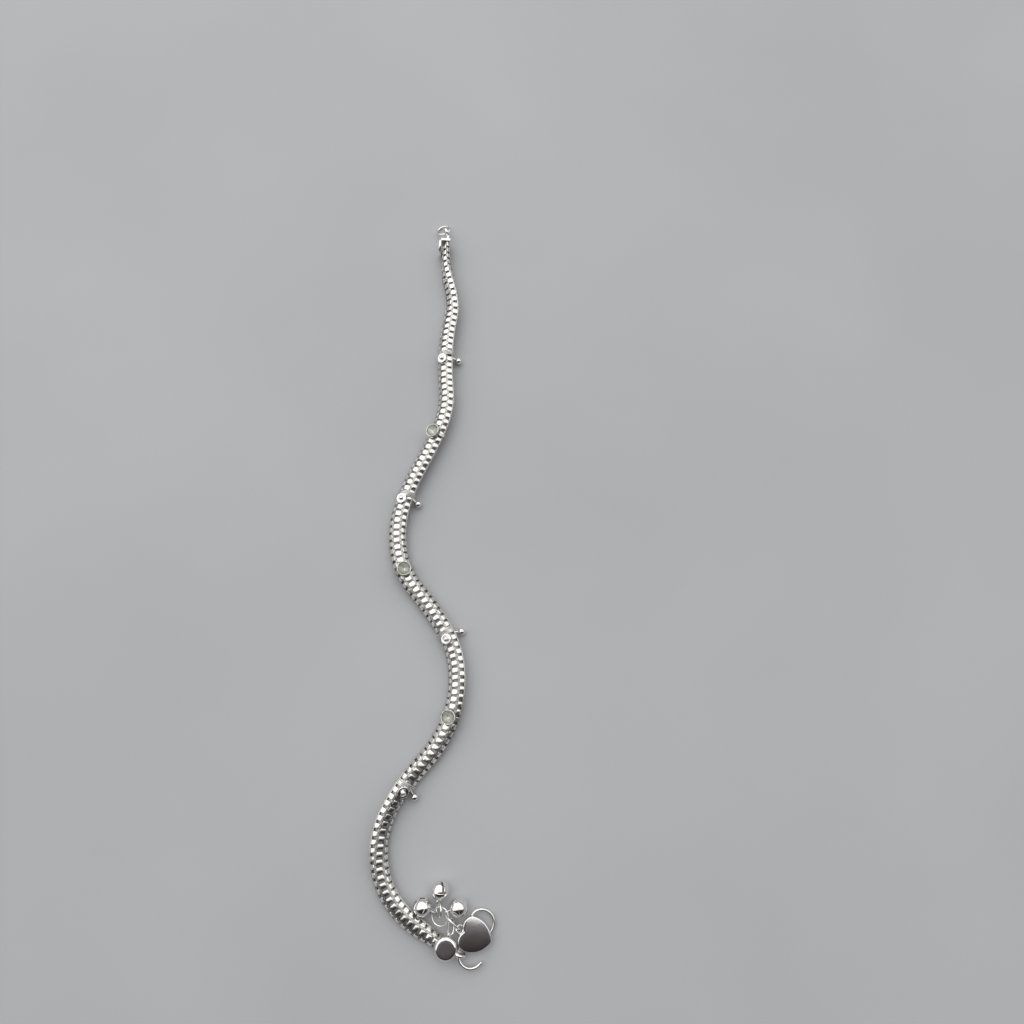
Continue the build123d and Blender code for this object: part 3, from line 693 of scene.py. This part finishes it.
# the side runs on from the lobe as an arc that ends at the tip, tangent to the lobe
run, chord = Vector((lobe[-1].y - LOBE_CENTRE[1], LOBE_CENTRE[0] - lobe[-1].x)), -lobe[-1]
run = -run.normalized() if run.dot(chord) < 0 else run.normalized()
normal = Vector((-run.y, run.x))
side_radius = chord.length_squared / (2 * chord.dot(normal))
side_centre = lobe[-1] + normal * side_radius
first = degrees(atan2(lobe[-1].y - side_centre.y, lobe[-1].x - side_centre.x))
last = degrees(atan2(-side_centre.y, -side_centre.x))
last += 360 * round((first - last) / 360)
outline = [tuple(point) for point in lobe] + arc(side_centre, abs(side_radius), first, last, 14)[1:]
outline += [(x, -y) for x, y in reversed(outline[1:-1])]
heart = bmesh.new()
plate = heart.faces.new([heart.verts.new((x, y, 0)) for x, y in outline])
top = bmesh.ops.extrude_face_region(heart, geom=[plate])["geom"]
bmesh.ops.translate(heart, verts=[item for item in top if isinstance(item, bmesh.types.BMVert)],
                    vec=(0, 0, HEART_THICK))
bmesh.ops.recalc_face_normals(heart, faces=heart.faces)
upper = [edge for edge in heart.edges if all(vertex.co.z > HEART_THICK / 2 for vertex in edge.verts)]
bmesh.ops.bevel(heart, geom=upper, offset=HEART_EDGE, segments=5, profile=0.5, affect="EDGES", material=-1,
                clamp_overlap=True)
bm = bmesh.new()
join(bm, heart, HOOK_PLACE @ Matrix.Translation((*HEART_TIP, HOOK_WIRE / 2 + HEART_GAP))
     @ Matrix.Rotation(radians(HEART_TURN), 4, "Z"))
add_ring(bm, BAIL, BAIL_DIAMETER, BAIL_WIRE)
heart_charm = new_piece("heart_charm_stamped", bm, buffed_silver, smooth=40)
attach(heart_charm, "root")
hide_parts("heart_charm")

# Small rings and links of drawn silver wire, soldered shut: the ring that two bells hang on, the link to the
# third, the ring that gathers them, and the long link from the cap's eyelet.
BELL_RING_DIAMETER, BELL_LINK_DIAMETER, CHARM_RING_DIAMETER = 4.8, 3.6, 5.36
BELL_RING_WIRE, BELL_LINK_WIRE, CHARM_RING_WIRE = 0.4, 0.52, 0.56
# each one's middle, with its tilt or the line through its hole
BELL_RING = Matrix.Translation((2.45, -98.35, 2.3)) @ Matrix.Rotation(radians(-17.7), 4, "Y")
BELL_LINK = seat((2.0, -96.7, 2.1), (0.906, 0, -0.423), (0, 1, 0))
CHARM_RING = seat((5.85, -99.6, 3.5), (-0.655, -0.703, 0.245))
for name, place, diameter, wire in (
        ("bell_ring", BELL_RING, BELL_RING_DIAMETER, BELL_RING_WIRE),
        ("bell_link", BELL_LINK, BELL_LINK_DIAMETER, BELL_LINK_WIRE),
        ("charm_ring", CHARM_RING, CHARM_RING_DIAMETER, CHARM_RING_WIRE)):
    bm = bmesh.new()
    add_ring(bm, place, diameter, wire, steps=56)
    ring = new_piece(f"{name}_drawn", bm, drawn_silver, smooth=180)
    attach(ring, "root")
    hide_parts(name)

# the long link's two far edges along the middle of its wire
CAP_LINK_START, CAP_LINK_END = Vector((5.32, -102.71, 3.18)), Vector((5.54, -99.38, 0.3))
CAP_LINK_NORMAL, CAP_LINK_WIDTH, CAP_LINK_WIRE = (0.39, -0.62, -0.68), 1.63, 0.44
link_run = CAP_LINK_END - CAP_LINK_START
link_normal = Vector(CAP_LINK_NORMAL)
link_axis = link_normal - link_run * link_normal.dot(link_run) / link_run.length_squared
link_place = seat((CAP_LINK_START + CAP_LINK_END) / 2, link_axis, link_run)
straight = (link_run.length - CAP_LINK_WIDTH) / 2
link_line = (arc((straight, 0), CAP_LINK_WIDTH / 2, 90, -90, 12)
             + arc((-straight, 0), CAP_LINK_WIDTH / 2, 270, 90, 12))
bm = bmesh.new()
draw_wire(bm, [link_place @ Vector((x, y, 0)) for x, y in link_line], CAP_LINK_WIRE, closed=True, sides=14)
cap_link = new_piece("cap_link_drawn", bm, drawn_silver, smooth=180)
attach(cap_link, "root")
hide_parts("cap_link")

# Bells: hollow balls of two stamped halves soldered at the waist, with a slot across the far side and a
# soldered wire loop. They lie on the table round their rings.
BELL_DIAMETER, BELL_WALL, BELL_SLOT, BELL_SLOT_TOP = 5.0, 0.4, 0.5, -0.48
BELL_SEAM = 0.07  # depth of the groove at the waist
BELL_HEIGHT = 2.55  # of its middle over the table
LOOP_DIAMETER, LOOP_WIRE, LOOP_REACH = 1.3, 0.4, 3.2
# centre's x and y, the ring that it hangs on, that ring's radius, and the place round the ring in degrees
BELLS = [
    (2.3, -91.7, BELL_LINK, BELL_LINK_DIAMETER / 2, 0),
    (-2.4, -95.9, BELL_RING, BELL_RING_DIAMETER / 2, 150),
    (7.4, -96.1, BELL_RING, BELL_RING_DIAMETER / 2, 36),
]


def stamped_bell(bm, place):
    """A hollow ball with a seam at its waist and a slot along X at its foot, and its loop on top."""
    radius = BELL_DIAMETER / 2
    half = arc((0, 0), radius, 90, 2, 16)
    profile = half + [(radius - BELL_SEAM, 0)] + [(x, -z) for x, z in reversed(half)]
    bell = bmesh.new()
    turn(bell, profile, Matrix(), steps=48)
    for offset, normal in (((0, BELL_SLOT / 2, 0), (0, 1, 0)), ((0, -BELL_SLOT / 2, 0), (0, 1, 0)),
                           ((0, 0, BELL_SLOT_TOP), (0, 0, 1))):
        bmesh.ops.bisect_plane(bell, geom=bell.verts[:] + bell.edges[:] + bell.faces[:], plane_co=offset,
                               plane_no=normal)
    slot = [face for face in bell.faces if abs(face.calc_center_median().y) < BELL_SLOT / 2
            and face.calc_center_median().z < BELL_SLOT_TOP]
    bmesh.ops.delete(bell, geom=slot, context="FACES")
    bmesh.ops.recalc_face_normals(bell, faces=bell.faces)
    bmesh.ops.solidify(bell, geom=bell.faces[:], thickness=BELL_WALL)
    join(bm, bell, place)
    add_ring(bm, place @ Matrix.Translation((0, 0, LOOP_REACH)) @ Matrix.Rotation(pi / 2, 4, "Y"),
             LOOP_DIAMETER, LOOP_WIRE, steps=28)


for number, (x, y, ring_place, radius, angle) in enumerate(BELLS, 1):
    centre = Vector((x, y, BELL_HEIGHT))
    spoke = Vector((cos(radians(angle)), sin(radians(angle)), 0))
    hanger = ring_place @ (spoke * radius)
    wire_run = ring_place.to_3x3() @ Vector((-spoke.y, spoke.x, 0))
    bm = bmesh.new()
    stamped_bell(bm, seat(centre, hanger - centre, wire_run))
    bell = new_piece(f"bell_{number}_stamped", bm, buffed_silver, smooth=40)
    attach(bell, "root")
    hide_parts(f"bell_{number}")
